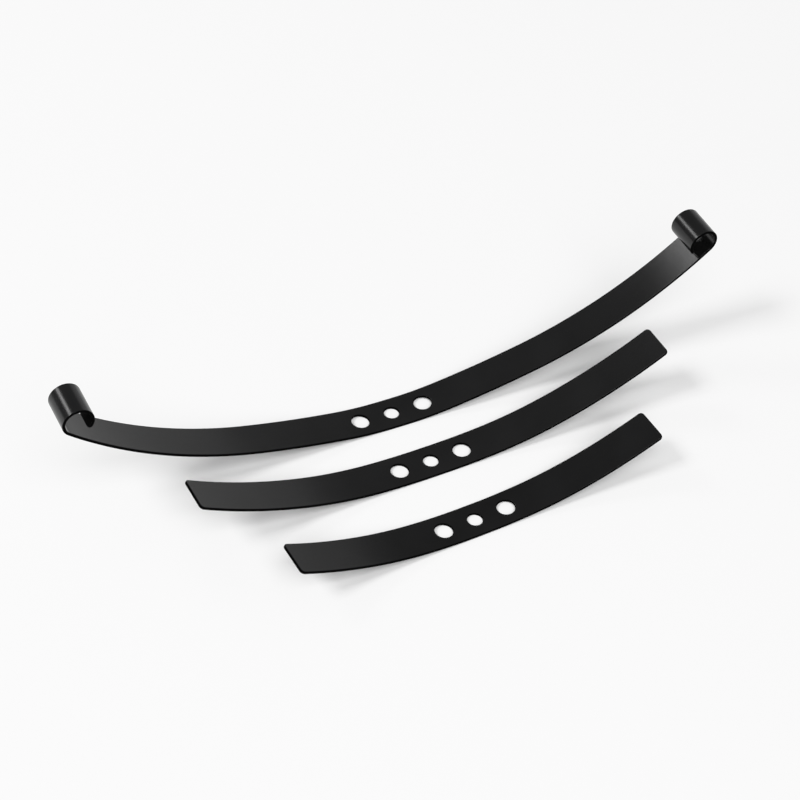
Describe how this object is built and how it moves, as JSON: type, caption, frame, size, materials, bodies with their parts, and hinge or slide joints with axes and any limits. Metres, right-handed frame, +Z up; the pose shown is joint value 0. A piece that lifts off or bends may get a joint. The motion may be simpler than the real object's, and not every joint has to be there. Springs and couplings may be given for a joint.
{
  "type": "leaf spring set",
  "caption": "Loose leaf spring set for a scale truck axle: an eyed main leaf and shorter cambered leaves, each with a row of punched seat holes.",
  "frame": {"origin": "middle of the set's bounding box, on the surface that the leaves rest on", "axes": "+X along the main leaf from eye to eye, +Z up out of the camber, +Y across the strips towards the main leaf"},
  "size_m": [0.1454, 0.0436, 0.0313],
  "materials": {
    "coated_steel_main": "smooth semi-gloss black coating on thin spring steel",
    "coated_steel_second": "smooth semi-gloss black coating on thin spring steel",
    "coated_steel_third": "smooth semi-gloss black coating on thin spring steel"
  },
  "bodies": {
    "main_leaf": {"main_leaf": "coated_steel_main"},
    "second_leaf": {"second_leaf": "coated_steel_second"},
    "third_leaf": {"third_leaf": "coated_steel_third"}
  },
  "joints": [
    {"name": "second_leaf_lift", "type": "slide", "parent": "main_leaf", "child": "second_leaf", "axis": [0, 0, 1], "range_m": [0, 0.05]},
    {"name": "third_leaf_lift", "type": "slide", "parent": "main_leaf", "child": "third_leaf", "axis": [0, 0, 1], "range_m": [0, 0.05]}
  ]
}
